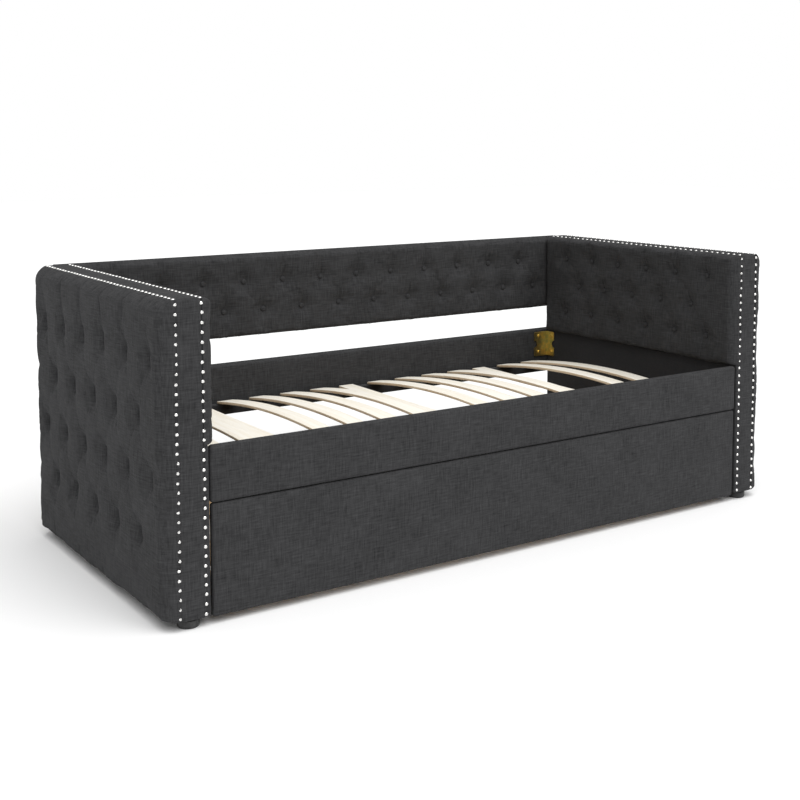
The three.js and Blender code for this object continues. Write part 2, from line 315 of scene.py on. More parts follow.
def material(name, kind, given, shader, bump, turn=(0, 0, 0)):
    # cloth follows its own UV map, everything else the object's coordinates, turned to suit the grain
    made = bpy.data.materials.new(name)
    made.use_nodes = True
    tree = made.node_tree
    base = tree.nodes["Principled BSDF"]
    if kind == "weave":
        spot = put(tree, "UVMap", uv_map="weave").outputs[0]
    else:
        spot = put(tree, "TexCoord").outputs["Object"]
        spot = put(tree, "Mapping", {"Vector": spot, "Rotation": turn}).outputs[0]
    look = tree.nodes.new("ShaderNodeGroup")
    look.node_tree = effects[kind]
    tree.links.new(spot, look.inputs["Vector"])
    for key, value in given.items():
        look.inputs[key].default_value = value
    tree.links.new(look.outputs["Color"], base.inputs["Base Color"])
    tree.links.new(look.outputs["Roughness"], base.inputs["Roughness"])
    for key, value in shader.items():
        base.inputs[key].default_value = value
    bump = {**usualBump, **bump}
    uneven = noise(tree, spot, bump["lumps"], 3.0)
    soft = put(tree, "Bump", {"Height": uneven, "Strength": bump["soft"], "Distance": bump["softDepth"]})
    fine = put(tree, "Bump", {
        "Height": look.outputs["Height"], "Strength": bump["strength"], "Distance": bump["depth"],
        "Normal": soft.outputs[0],
    })
    tree.links.new(fine.outputs[0], base.inputs["Normal"])
    return made


looks = {
    "linen": material(
        "charcoalLinen", "weave",
        {
            "Thread": 0.0011, "Contrast": 1.15,
            "Dark": (0.011, 0.011, 0.0115, 1), "Light": (0.061, 0.061, 0.063, 1),
        },
        {"Sheen Weight": 0.02, "Sheen Roughness": 0.55, "Specular IOR Level": 0.12},
        {"strength": 0.5, "depth": 0.0004, "soft": 0.12, "lumps": 140.0},
    ),
    "lining": material(
        "blackLining", "weave",
        {
            "Thread": 0.0008, "Contrast": 0.8,
            "Dark": (0.006, 0.006, 0.007, 1), "Light": (0.022, 0.022, 0.024, 1),
        },
        {"Sheen Weight": 0.15, "Specular IOR Level": 0.2}, {"strength": 0.35, "depth": 0.0003},
    ),
    "webbing": material(
        "slatWebbing", "weave",
        {"Thread": 0.0021, "Contrast": 0.6, "Dark": (0.42, 0.38, 0.31, 1), "Light": (0.74, 0.70, 0.61, 1)},
        {"Sheen Weight": 0.2, "Specular IOR Level": 0.2}, {"strength": 0.6, "depth": 0.0006},
    ),
    "slatFace": material(
        "slatFace", "grain", {"Rough": 0.42, "Dark": (0.86, 0.79, 0.66, 1), "Light": (0.95, 0.92, 0.85, 1)},
        {"Coat Weight": 0.12, "Coat Roughness": 0.35}, {"strength": 0.12, "depth": 0.0004, "soft": 0.02},
    ),
    # slat sides: partly the laminated edge's own grain and finish, partly painted shade, the same wood made
    # darker because the sides face away from the overhead light
    "slatSideShaded": material(
        "slatSideShaded", "grain", {"Rough": 0.6, "Dark": (0.60, 0.45, 0.29, 1), "Light": (0.84, 0.72, 0.54, 1)},
        {}, {"strength": 0.3, "depth": 0.0005, "soft": 0.03}, (0, quarter, 0),
    ),
    "pine": material(
        "framePine", "grain", {"Rough": 0.55, "Dark": (0.45, 0.27, 0.12, 1), "Light": (0.74, 0.56, 0.35, 1)},
        {}, {"strength": 0.25, "depth": 0.0005, "soft": 0.03},
    ),
    "pineAcross": material(
        "crossPine", "grain", {"Rough": 0.55, "Dark": (0.45, 0.27, 0.12, 1), "Light": (0.74, 0.56, 0.35, 1)},
        {}, {"strength": 0.25, "depth": 0.0005, "soft": 0.03}, (0, 0, quarter),
    ),
    "plastic": material(
        "blackPlastic", "handling",
        {"Pebble": 1100.0, "Rough": 0.38, "Base": (0.012, 0.012, 0.013, 1), "Worn": (0.05, 0.05, 0.05, 1)},
        {"Specular IOR Level": 0.45}, {"strength": 0.25, "depth": 0.0003, "soft": 0.03},
    ),
    "rubber": material(
        "wheelRubber", "handling",
        {"Pebble": 700.0, "Rough": 0.55, "Base": (0.10, 0.10, 0.105, 1), "Worn": (0.22, 0.21, 0.20, 1)},
        {"Specular IOR Level": 0.3}, {"strength": 0.3, "depth": 0.0003, "soft": 0.04},
    ),
    "zinc": material(
        "yellowZinc", "handling",
        {"Pebble": 500.0, "Rough": 0.24, "Base": (0.80, 0.60, 0.22, 1), "Worn": (0.42, 0.46, 0.24, 1)},
        {"Metallic": 1.0}, {"strength": 0.12, "depth": 0.0002, "soft": 0.02},
    ),
    "steel": material(
        "boltSteel", "handling",
        {"Pebble": 900.0, "Rough": 0.22, "Base": (0.62, 0.60, 0.55, 1), "Worn": (0.40, 0.38, 0.33, 1)},
        {"Metallic": 1.0}, {"strength": 0.15, "depth": 0.0002, "soft": 0.02},
    ),
    "nail": material(
        "brightNickel", "handling",
        {"Pebble": 1500.0, "Rough": 0.13, "Base": (0.93, 0.92, 0.90, 1), "Worn": (0.70, 0.69, 0.67, 1)},
        {"Metallic": 1.0}, {"strength": 0.06, "depth": 0.0001, "soft": 0.0},
    ),
}
print("materials are made:", len(looks))


def roll(distance, radius):
    # quarter ellipse: sqrt(1 - (1 - d / R)^2) up to R, then flat
    return np.sqrt(1 - (1 - np.clip(distance / radius, 0, 1)) ** 2)


def ease(value):
    # smooth step: 3 t^2 - 2 t^3 between 0 and 1
    t = np.clip(value, 0, 1)
    return t * t * (3 - 2 * t)


def spread(low, high, rollLow, rollHigh, cell, steps=9):
    # cosine spacing over each rolled edge, even spacing between them
    turn = 1 - np.cos(np.linspace(0, quarter, steps))
    count = max(1, round((high - low - rollLow - rollHigh) / cell))
    inner = np.linspace(low + rollLow, high - rollHigh, count + 1)[1:-1]
    return np.concatenate([low + rollLow * turn, inner, (high - rollHigh * turn)[::-1]])


def unevenness(a, b, period, waves=7):
    # mean of several sine waves in spread directions, periods near the one given, from about -1 to 1
    turn = dice.uniform(0, 2 * np.pi, waves)
    phase = dice.uniform(0, 2 * np.pi, waves)
    size = dice.uniform(0.7, 1.6, waves) * period
    path = a[..., None] * np.cos(turn) + b[..., None] * np.sin(turn)
    return np.sin(2 * np.pi * path / size + phase).mean(-1) * 1.6


def quads(rows, cols, wrap=False):
    # four corners per cell of a grid numbered row by row
    i, j = np.arange(rows - 1)[:, None], np.arange(cols if wrap else cols - 1)[None, :]
    first, second = i * cols + j, i * cols + (j + 1) % cols
    return np.stack([first, second, second + cols, first + cols], -1).reshape(-1, 4)


def tube(rings):
    # closed sections joined into a skin, with a flat face over each end
    rows, cols = rings.shape[:2]
    ends = np.stack([np.arange(cols)[::-1], (rows - 1) * cols + np.arange(cols)])
    return rings.reshape(-1, 3), [quads(rows, cols, True), ends]


def roundedSection(half, radius, sideCell, arc):
    # a rectangle shrunk by the radius, and at each of its points the direction that the radius grows in
    core, out = [], []
    turns = [(1, 1), (-1, 1), (-1, -1), (1, -1)]
    for k, signs in enumerate(turns):
        angle = quarter * (k + np.linspace(0, 1, arc + 1))
        here = np.array(signs) * (half - radius)
        there = np.array(turns[(k + 1) % 4]) * (half - radius)
        count = max(1, round(np.abs(there - here).max() / sideCell))
        between = np.linspace(0, 1, count + 1)[1:-1, None]
        direction = np.stack([np.cos(angle), np.sin(angle)], 1)
        core += [np.repeat(here[None], arc + 1, 0), here + (there - here) * between]
        out += [direction, np.repeat(direction[-1:], len(between), 0)]
    return np.concatenate(core), np.concatenate(out)


def bar(low, high, radius, along=0, cell=0.05, sideCell=0.05, arc=3, form=None):
    # rounded rectangle carried along one axis; its radius goes to nothing over both ends as a quarter circle
    low, high = np.array(low, float), np.array(high, float)
    across = [k for k in range(3) if k != along]
    core, out = roundedSection((high - low)[across] / 2, radius, sideCell, arc)
    stations = spread(low[along], high[along], radius, radius, cell, arc + 2)
    grow = roll(np.minimum(stations - low[along], high[along] - stations), radius)
    rings = np.empty((len(stations), len(core), 3))
    rings[..., along] = stations[:, None]
    rings[..., across] = (low + high)[across] / 2 + core + out * (radius * grow)[:, None, None]
    if form:
        form(rings)
    return tube(rings)


def turned(profile, centre, axis=2, sides=32, ringed=False):
    # (radius, along) pairs swept round an axis; ringed joins the last pair to the first
    profile, turn = np.array(profile, float), np.linspace(0, 2 * np.pi, sides, endpoint=False)
    rings = np.empty((len(profile), sides, 3))
    across = [k for k in range(3) if k != axis]
    rings[..., axis] = profile[:, 1:]
    rings[..., across[0]] = profile[:, :1] * np.cos(turn)
    rings[..., across[1]] = profile[:, :1] * np.sin(turn)
    rings += np.array(centre)
    if ringed:
        faces = quads(len(rings) + 1, sides, True) % (len(profile) * sides)
        return rings.reshape(-1, 3), [faces]
    return tube(rings)


def domes(places, facing, radius, height, rings, sides):
    # every dome is rings of (share of radius, share of height) about its facing line, with a point on top
    places, facing = np.array(places, float), np.array(facing, float)
    facing /= np.linalg.norm(facing, axis=1, keepdims=True)
    helper = np.where(np.abs(facing[:, :1]) > 0.7, [[0.0, 1.0, 0.0]], [[1.0, 0.0, 0.0]])
    first = np.cross(facing, helper)
    first /= np.linalg.norm(first, axis=1, keepdims=True)
    second = np.cross(facing, first)
    rings, turn = np.array(rings, float), np.linspace(0, 2 * np.pi, sides, endpoint=False)
    flat = rings[:, None, 0] * radius
    lift = np.repeat(rings[:, 1:] * height, sides, 1)
    local = np.stack([flat * np.cos(turn), flat * np.sin(turn), lift], -1)
    local = np.concatenate([local.reshape(-1, 3), [[0, 0, height]]])
    points = places[:, None] + local @ np.stack([first, second, facing], 1)
    top, last, ring = len(local) - 1, (len(rings) - 1) * sides, np.arange(sides)
    skin = quads(len(rings), sides, True)
    crown = np.stack([last + ring, last + (ring + 1) % sides, np.full(sides, top)], 1)
    step = np.arange(len(places))[:, None, None] * len(local)
    groups = [(g[None] + step).reshape(-1, g.shape[1]) for g in (skin, crown, ring[None, ::-1])]
    return points.reshape(-1, 3), groups


def volume(points, groups):
    # sum over fan triangles of corner . (corner x corner) / 6
    total = 0.0
    for group in groups:
        first = points[group[:, 0]]
        for k in range(1, group.shape[1] - 1):
            turn = np.cross(points[group[:, k]], points[group[:, k + 1]])
            total += np.einsum("ij,ij->i", first, turn).sum()
    return total / 6


def meshOf(name, shells):
    # shells joined in one mesh, each turned so that its volume is positive
    points, loops, sizes, start = [], [], [], 0
    for shellPoints, groups in shells:
        if volume(shellPoints - shellPoints.mean(0), groups) < 0:
            groups = [group[:, ::-1] for group in groups]
        points.append(shellPoints)
        loops += [(group + start).ravel() for group in groups]
        sizes += [np.full(len(group), group.shape[1]) for group in groups]
        start += len(shellPoints)
    points, loops, sizes = np.concatenate(points), np.concatenate(loops), np.concatenate(sizes)
    mesh = bpy.data.meshes.new(name)
    mesh.vertices.add(len(points))
    mesh.vertices.foreach_set("co", points.astype(np.float32).ravel())
    mesh.loops.add(len(loops))
    mesh.loops.foreach_set("vertex_index", loops.astype(np.int32))
    mesh.polygons.add(len(sizes))
    mesh.polygons.foreach_set("loop_start", (np.cumsum(sizes) - sizes).astype(np.int32))
    mesh.update(calc_edges=True)
    mesh.validate()
    return mesh


uprightBelow = 0.6  # a face stands upright when its normal's Z is less than this


def faceNormals(mesh):
    # sizes of the normals' parts, without their signs
    normals = np.empty(len(mesh.polygons) * 3, np.float32)
    mesh.polygons.foreach_get("normal", normals)
    return np.abs(normals.reshape(-1, 3))


def laySurface(mesh):
    # weave coordinates in metres: each face takes the two axes that it faces least
    counts = np.empty(len(mesh.polygons), np.int32)
    mesh.polygons.foreach_get("loop_total", counts)
    mainAxis = np.repeat(faceNormals(mesh).argmax(1), counts)
    points, corner = np.empty(len(mesh.vertices) * 3, np.float32), np.empty(len(mesh.loops), np.int32)
    mesh.vertices.foreach_get("co", points)
    mesh.loops.foreach_get("vertex_index", corner)
    spot = points.reshape(-1, 3)[corner]
    rows = np.arange(len(spot))
    sideways, upward = np.array([1, 0, 0])[mainAxis], np.array([2, 2, 1])[mainAxis]
    pair = np.stack([spot[rows, sideways], spot[rows, upward]], 1)
    mesh.uv_layers.new(name="weave").data.foreach_set("uv", pair.astype(np.float32).ravel())


def finish(
    name, shells, look, body="bed_frame", replaces=(), sharp=0.75, sideShadeLook=None,
):
    # one piece from its shells; faces that stand upright may take a second look, a darker copy of the
    # material that paints shade on the sides
    mesh = meshOf(name, shells)
    laySurface(mesh)
    mesh.shade_smooth()
    mesh.set_sharp_from_angle(angle=sharp)
    mesh.materials.append(looks[look])
    if sideShadeLook:
        mesh.materials.append(looks[sideShadeLook])
        # painted shade: upright faces take the darker second look, picked only by which way they face
        upright = (faceNormals(mesh)[:, 2] < uprightBelow).astype(np.int32)
        mesh.polygons.foreach_set("material_index", upright)
    piece = bpy.data.objects.new(name, mesh)
    scene.collection.objects.link(piece)
    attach(piece, body)
    if replaces:
        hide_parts(*replaces)


def corners(node):
    low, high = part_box(node)
    return np.array(low), np.array(high)


def padEdge(a, b, low, high, rolls):
    # product of the four rolled edges
    lowA, highA, lowB, highB = rolls
    along = roll(a - low[0], lowA) * roll(high[0] - a, highA)
    return along * roll(b - low[1], lowB) * roll(high[1] - b, highB)


def rowsOf(rows, pitch, middle, jitter):
    # (along, up) of every button: each row is centred and evenly pitched
    spots = [
        np.stack([middle + pitch * (np.arange(count) - (count - 1) / 2), np.full(count, up)], 1)
        for up, count in rows
    ]
    spots = np.concatenate(spots)
    return spots + dice.uniform(-jitter, jitter, spots.shape)


def pits(a, b, spots, depth, width, tall):
    # sum of bells exp(-(da / width)^2 - (db / tall)^2) over the spots
    da, db = a[..., None] - spots[:, 0], b[..., None] - spots[:, 1]
    return depth * np.exp(-((da / width) ** 2) - (db / tall) ** 2).sum(-1)


settling = {
    "frames": 14,
    "quality": 4,
    "pressure": 3.0,
    "growth": 0.014,  # how much larger the cloth is cut than the surface it starts on
    "bending": 0.4,
}


def settle(points, rows, cols, axis, sign, spots, reach, cap):
    # cloth under pressure, held at its border and round every button; each point's travel is capped
    s = settling
    faces = quads(rows, cols)
    edge = points[faces[:, 1]] - points[faces[:, 0]], points[faces[:, 3]] - points[faces[:, 0]]
    if np.cross(*edge)[:, axis].sum() * sign < 0:
        faces = faces[:, ::-1]
    mesh = bpy.data.meshes.new("settling")
    mesh.from_pydata(points.tolist(), [], faces.tolist())
    skin = bpy.data.objects.new("settling", mesh)
    scene.collection.objects.link(skin)
    flat = points[:, [k for k in range(3) if k != axis]]
    near = np.linalg.norm((flat[:, None] - spots) / reach, axis=2).min(1) < 1
    row, col = np.divmod(np.arange(rows * cols), cols)
    held = near | (row == 0) | (row == rows - 1) | (col == 0) | (col == cols - 1)
    skin.vertex_groups.new(name="held").add(np.flatnonzero(held).tolist(), 1.0, "REPLACE")
    cloth = skin.modifiers.new("cloth", "CLOTH")
    cloth.settings.quality = s["quality"]
    cloth.settings.vertex_group_mass = "held"
    cloth.settings.use_pressure = True
    cloth.settings.uniform_pressure_force = s["pressure"]
    cloth.settings.shrink_min = cloth.settings.shrink_max = -s["growth"]
    cloth.settings.bending_stiffness = s["bending"]
    cloth.settings.effector_weights.gravity = 0
    cloth.collision_settings.use_collision = False
    cloth.point_cache.frame_start, cloth.point_cache.frame_end = 1, s["frames"]
    for step in range(1, s["frames"] + 1):
        scene.frame_set(step)
    result = skin.evaluated_get(bpy.context.evaluated_depsgraph_get()).data
    after = np.empty(len(points) * 3, np.float32)
    result.vertices.foreach_get("co", after)
    bpy.data.objects.remove(skin)
    scene.frame_set(1)
    travel = after.reshape(-1, 3) - points
    length = np.linalg.norm(travel, axis=1, keepdims=True)
    print("  cloth settled, longest travel", round(float(length.max()) * 1000, 1), "mm")
    return points + travel * np.minimum(1, cap / np.maximum(length, 1e-9))


def padShell(a, b, height, axis, base, sign, spots, given):
    # front skin base + sign * height over the grid, closed by one flat back face on its border
    rows, cols = len(a), len(b)
    points = np.empty((rows, cols, 3))
    across = [k for k in range(3) if k != axis]
    points[..., across[0]], points[..., across[1]] = a[:, None], b[None, :]
    points[..., axis] = base + sign * height
    points = points.reshape(-1, 3)
    points = settle(points, rows, cols, axis, sign, spots, given["reach"], given["cap"])
    rim = np.concatenate([
        np.arange(cols - 1), np.arange(rows - 1) * cols + cols - 1,
        rows * cols - 1 - np.arange(cols - 1), (rows - 1 - np.arange(rows - 1)) * cols,
    ])
    return points, [quads(rows, cols), rim[None]]


padPlane = corners("right_arm_outer_pad")[0][0] + 0.001  # x of the outer pad's back and the outer nail row
padTop = cadBounds[1][2] - 0.002
buttonRings = [(0.86, -0.25), (1.0, 0.1), (0.97, 0.42), (0.78, 0.76), (0.42, 0.95)]
tufted = {
    "thick": 0.039,
    "pitch": 0.162,
    "rowGap": 0.155,
    "topRow": 0.680,
    "counts": (6, 5, 6, 5),
    "jitter": 0.002,
    "fold": 0.007,
    "foldSharp": 0.8,
    "topFade": 0.72,  # share of a fold that is gone at the pad's top
    "lowFade": 0.05,  # height below the last row over which the folds end
    "endFade": (0.85, 2.55, 0.05),  # share lost past so many pitches from the middle, and over what length
    "slot": (0.022, 0.0115, 0.021),  # depth, half width, half height
    "thin": 0.002,
    "uneven": (0.0012, 0.09, 0.02),  # depth, period, and the thickness where it is whole
    "reach": (0.006, 0.012),  # half width and height held by the stitch
    "cap": 0.0045,
    "rolls": (0.034, 0.030, 0.008, 0.040),  # front, rear, bottom, top
    "cell": 0.0045,
    "button": (0.0058, 0.004),
    "sunk": 0.001,
}


def tuftedHeight(y, z, spots, low, high, middle):
    # diamond folds: half the sum of |sin pi(u + r)|^s and |sin pi(u - r)|^s, u in pitches along, r in half
    # rows down; above the top row r stays zero, so the folds run straight up; they end below the last row
    s = tufted
    sharp, lastGap = s["foldSharp"], len(s["counts"]) - 1
    u = (y - middle) / s["pitch"] - 0.5
    lastRow = s["topRow"] - s["rowGap"] * lastGap
    down = np.clip((s["topRow"] - z) / s["rowGap"], 0, lastGap) / 2
    full = 0.5 * (np.abs(np.sin(np.pi * (u + down))) ** sharp + np.abs(np.sin(np.pi * (u - down))) ** sharp)
    lost, pitches, length = s["endFade"]
    strength = 1 - s["topFade"] * ease((z - s["topRow"]) / (high[1] - s["topRow"]))
    strength *= 1 - ease((lastRow - z) / s["lowFade"])
    strength *= 1 - lost * ease((np.abs(y - middle) - pitches * s["pitch"]) / length)
    body = s["thick"] - s["fold"] * (1 - full) * strength - pits(y, z, spots, *s["slot"])
    return np.maximum(body, s["thin"]) * padEdge(y, z, low, high, s["rolls"])


def makeTuftedPad(side, name):
    s = tufted
    low = cadBounds[0][1], corners(name + "_arm_outer_pad")[0][2]
    high = corners(name + "_arm_rear_facing")[1][1], padTop
    middle = (low[0] + high[0]) / 2
    rows = [(s["topRow"] - s["rowGap"] * k, count) for k, count in enumerate(s["counts"])]
    spots = rowsOf(rows, s["pitch"], middle, s["jitter"])
    front, rear, bottom, top = s["rolls"]
    y, z = spread(low[0], high[0], front, rear, s["cell"]), spread(low[1], high[1], bottom, top, s["cell"])
    gridY, gridZ = y[:, None] + 0 * z, z + 0 * y[:, None]
    height = tuftedHeight(gridY, gridZ, spots, low, high, middle)
    uneven, period, whole = s["uneven"]
    height += uneven * unevenness(gridY, gridZ, period) * ease(height / whole)
    skin = padShell(y, z, height, 0, side * padPlane, side, spots, s)
    finish(name + "_tufted_pad", [skin], "linen", replaces=[name + "_arm_outer_pad"], sharp=1.2)
    depth = tuftedHeight(spots[:, 0], spots[:, 1], spots, low, high, middle)
    places = np.stack([side * (padPlane + depth - s["sunk"]), spots[:, 0], spots[:, 1]], 1)
    facing = np.repeat([[side, 0.0, 0.0]], len(places), 0)
    finish(name + "_deep_buttons", [domes(places, facing, *s["button"], buttonRings, sides=12)], "linen")


buttoned = {
    "arm": {
        "thick": 0.031, "rows": [(0.758, 6), (0.655, 5), (0.552, 6)], "pitch": 0.1465, "shift": 0.009,
        "rolls": (0.031, 0.012, 0.010, 0.016),  # front, rear, bottom, top
    },
    "back": {
        "thick": 0.0200, "rows": [(0.744, 12), (0.645, 13)], "pitch": 0.149, "shift": 0.0,
        "rolls": (0.012, 0.012, 0.012, 0.020),  # left, right, bottom, top
    },
    "jitter": 0.0015,
    "pit": (0.0125, 0.023, 0.023),  # depth, half width, half height
    "crease": (0.0030, 0.0050, 0.018),
    "creaseUp": 0.026,
    "uneven": (0.0009, 0.11, 0.015),
    "button": (0.0098, 0.0066),
    "raised": 0.0012,
    "reach": (0.0135, 0.0135),
    "cap": 0.0035,
    "cell": 0.0045,
}


def buttonedHeight(a, b, spots, kind, low, high):
    # even thickness less a round pit at each button and a short crease above it, times the rolled edges
    s = buttoned
    above = spots + np.array([0, s["creaseUp"]])
    body = kind["thick"] - pits(a, b, spots, *s["pit"]) - pits(a, b, above, *s["crease"])
    return body * padEdge(a, b, low, high, kind["rolls"])


def makeButtonedPad(name, kind, low, high, axis, base, sign, replaced):
    s, rolls = buttoned, kind["rolls"]
    spots = rowsOf(kind["rows"], kind["pitch"], (low[0] + high[0]) / 2 + kind["shift"], s["jitter"])
    a = spread(low[0], high[0], rolls[0], rolls[1], s["cell"])
    b = spread(low[1], high[1], rolls[2], rolls[3], s["cell"])
    gridA, gridB = a[:, None] + 0 * b, b + 0 * a[:, None]
    height = buttonedHeight(gridA, gridB, spots, kind, low, high)
    uneven, period, whole = s["uneven"]
    height += uneven * unevenness(gridA, gridB, period) * ease(height / whole)
    skin = padShell(a, b, height, axis, base, sign, spots, s)
    finish(name + "_pad", [skin], "linen", replaces=[replaced], sharp=1.2)
    depth = buttonedHeight(spots[:, 0], spots[:, 1], spots, kind, low, high)
    places = np.insert(spots, axis, base + sign * (depth + s["raised"]), axis=1)
    facing = np.zeros_like(places)
    facing[:, axis] = sign
    finish(name + "_buttons", [domes(places, facing, *s["button"], buttonRings, sides=14)], "linen")


bandSet = {
    "inner": 0.977,  # x of the inner nail row
    "crown": 0.004,
    "crownPower": 0.7,
    "under": 0.003,
    "corner": 0.010,
    "step": 0.012,
    "strips": 15,
    "pinch": 0.0005,
    "pinchAt": (0.12, 0.8),  # width of the pinched margin, and how far in from the edge it is deepest
    "uneven": (0.0004, 0.07),
    "overlap": 0.002,
}
nailSet = {
    "columnCount": 33,
    "topCount": 40,
    "column": (0.034, 0.826),
    "top": (-0.513, 0.448),
    "below": 0.0028,  # nail's seat under the band's crown line
    "size": (0.0052, 0.0033),
    "drift": 0.0009,
    "tilt": 0.09,
}
nailRings = [(0.97, -0.1), (1.0, 0.08), (0.86, 0.52), (0.5, 0.88)]


def bandPath(front, top, rear, bottom):
    # (y, z) up the front, round the corner, along the top, round the rear corner and down, with the
    # outward directions
    radius, step = bandSet["corner"], bandSet["step"]
    turn = np.linspace(0, quarter, 7)
    up = np.arange(bottom, top - radius, step)
    across = np.arange(front + radius, rear - radius, step)[1:]
    frontY, frontZ = front + radius * (1 - np.cos(turn)), top - radius * (1 - np.sin(turn))
    rearY, rearZ = rear - radius * (1 - np.sin(turn)), top - radius * (1 - np.cos(turn))
    places = np.concatenate([
        np.stack([np.full(len(up), front), up], 1),
        np.stack([frontY, frontZ], 1),
        np.stack([across, np.full(len(across), top)], 1),
        np.stack([rearY, rearZ], 1),
        np.stack([np.full(len(up), rear), up[::-1]], 1),
    ])
    outward = np.concatenate([
        np.repeat([[-1.0, 0.0]], len(up), 0),
        np.stack([-np.cos(turn), np.sin(turn)], 1),
        np.repeat([[0.0, 1.0]], len(across), 0),
        np.stack([np.sin(turn), np.cos(turn)], 1),
        np.repeat([[1.0, 0.0]], len(up), 0),
    ])
    return places, outward


def makeBand(side, name):
    # one strip over front, top and rear, crowned by (1 - (2t - 1)^2)^p across its width and pinched by
    # cos(2 pi s / nail pitch) along its margins
    s = bandSet
    low, high = cadBounds
    rear = corners(name + "_arm_rear_facing")[1][1]
    bottom = corners(name + "_arm_front_facing")[0][2]
    places, outward = bandPath(low[1] + s["crown"], high[2] - s["crown"], rear - s["crown"], bottom)
    steps = np.linalg.norm(np.diff(places, axis=0), axis=1)
    travel = np.concatenate([[0], np.cumsum(steps)])[:, None]
    share = np.linspace(0, 1, s["strips"])
    across = s["inner"] - s["overlap"] + share * (padPlane - s["inner"] + 2 * s["overlap"])
    crown = s["crown"] * (1 - (2 * share - 1) ** 2) ** s["crownPower"]
    firstNail, lastNail = nailSet["column"]
    pitch = (lastNail - firstNail) / (nailSet["columnCount"] - 1)
    margin = np.exp(-((np.minimum(share, 1 - share) / s["pinchAt"][0] - s["pinchAt"][1]) ** 2))
    pinch = s["pinch"] * np.cos(2 * np.pi * (travel - (firstNail - bottom)) / pitch) * margin
    uneven, period = s["uneven"]
    waves = unevenness(travel + 0 * share, across + 0 * travel, period)
    lift = crown - pinch + uneven * waves * (crown / s["crown"])
    heights = np.concatenate([lift, np.full_like(lift, -s["under"])], 1)
    rings = np.empty((*heights.shape, 3))
    rings[..., 0] = side * np.concatenate([across, across[::-1]])
    rings[..., 1:] = places[:, None] + outward[:, None] * heights[..., None]
    faces = [name + part for part in ("_arm_front_facing", "_arm_top_facing", "_arm_rear_facing")]
    finish(name + "_nail_band", [tube(rings)], "linen", replaces=faces, sharp=0.9)


def driveNails(side, name):
    # a column up the front and a row along the top, at both edges of the band
    s = nailSet
    front, top = cadBounds[0][1] + s["below"], cadBounds[1][2] - s["below"]
    columns, tops = np.linspace(*s["column"], s["columnCount"]), np.linspace(*s["top"], s["topCount"])
    spots, facing = [], []
    for x in (bandSet["inner"], padPlane):
        spots += [np.stack([np.full(len(columns), side * x), np.full(len(columns), front), columns], 1)]
        spots += [np.stack([np.full(len(tops), side * x), tops, np.full(len(tops), top)], 1)]
        facing += [np.repeat([[0.0, -1.0, 0.0]], len(columns), 0), np.repeat([[0.0, 0.0, 1.0]], len(tops), 0)]
    spots, facing = np.concatenate(spots), np.concatenate(facing)
    spots += dice.uniform(-s["drift"], s["drift"], spots.shape) * (1 - np.abs(facing))
    facing += dice.uniform(-s["tilt"], s["tilt"], facing.shape)
    heads = domes(spots, facing, *s["size"], nailRings, sides=10)
    finish(name + "_nails", [heads], "nail", sharp=1.2)


def rippled(amount, period, face=1):
    # pushes the skin along one axis by soft waves over the other two
    def form(rings):
        others = [k for k in range(3) if k != face]
        middle = (rings[..., face].min() + rings[..., face].max()) / 2
        wave = unevenness(rings[..., others[0]], rings[..., others[1]], period)
        rings[..., face] += amount * wave * np.sign(rings[..., face] - middle)
    return form


def crowned(swell, amount=0.0004, period=0.12):
    # front swells by swell * (1 - u^4)(1 - w^4), u and w from -1 to 1 along and up the panel
    def form(rings):
        low, high = rings.reshape(-1, 3).min(0), rings.reshape(-1, 3).max(0)
        unit = 2 * (rings - low) / (high - low) - 1
        frontShare = np.clip(-unit[..., 1], 0, 1)
        rings[..., 1] -= swell * (1 - unit[..., 0] ** 4) * (1 - unit[..., 2] ** 4) * frontShare
        rippled(amount, period)(rings)
    return form


wrapSet = {
    "edge": 0.964,  # x of the cloth's inner corner, just past the lining
    "tuck": 0.001,
    "front": (0.0015, -0.503, 0.005),  # set back from the front plane, rear face, radius
    "rear": (0.4605, 0.4658, 0.002),
    "over": 0.003,
    "cell": 0.03,
}
liningSet = {"edge": 0.0015, "ripple": (0.0005, 0.2)}


def lineArm(side, name):
    # bare lining below the inner pad, and cloth wrapped round the posts at both its ends
    s = wrapSet
    padBottom = corners(name + "_arm_inner_pad")[0][2] + s["over"]
    low, high = corners(name + "_arm_liner")
    lining = bar(low, high, liningSet["edge"], 1, form=rippled(*liningSet["ripple"], 0))
    finish(name + "_lining", [lining], "lining", replaces=[name + "_arm_liner"])
    inside, outside = sorted([side * s["edge"], side * (bandSet["inner"] + s["tuck"])])
    setBack, frontEnd, frontRound = s["front"]
    rearStart, rearEnd, rearRound = s["rear"]
    front = (inside, cadBounds[0][1] + setBack, low[2]), (outside, frontEnd, padBottom)
    rear = (inside, rearStart, low[2]), (outside, rearEnd, padBottom)
    wraps = [bar(*front, frontRound, 2, s["cell"]), bar(*rear, rearRound, 2, s["cell"])]
    finish(name + "_post_wrap", wraps, "linen")


for side, name in ((-1, "left"), (1, "right")):
    makeTuftedPad(side, name)
    makeBand(side, name)
    driveNails(side, name)
    inner = corners(name + "_arm_inner_pad")
    lowEdge, highEdge = (cadBounds[0][1], inner[0][2]), (inner[1][1], padTop)
    padBase = side * bandSet["inner"]
    makeButtonedPad(
        name + "_inner", buttoned["arm"], lowEdge, highEdge, 0, padBase, -side, name + "_arm_inner_pad",
    )
    lineArm(side, name)
print("arms are upholstered")

shellSet = {"overlap": 0.0002, "radius": 0.011, "cell": 0.02, "ripple": (0.0007, 0.15)}
panels = {  # cover's name, corner radius, swell of the front, body
    "front_rail": ("front_rail_cover", 0.009, 0.0025, "bed_frame"),
    "back_rail": ("back_rail_cover", 0.006, 0.0025, "bed_frame"),
    "trundle_front_panel": ("trundle_front_cover", 0.007, 0.0030, "trundle"),
}
panelCell = 0.014
ledgerRound = 0.003


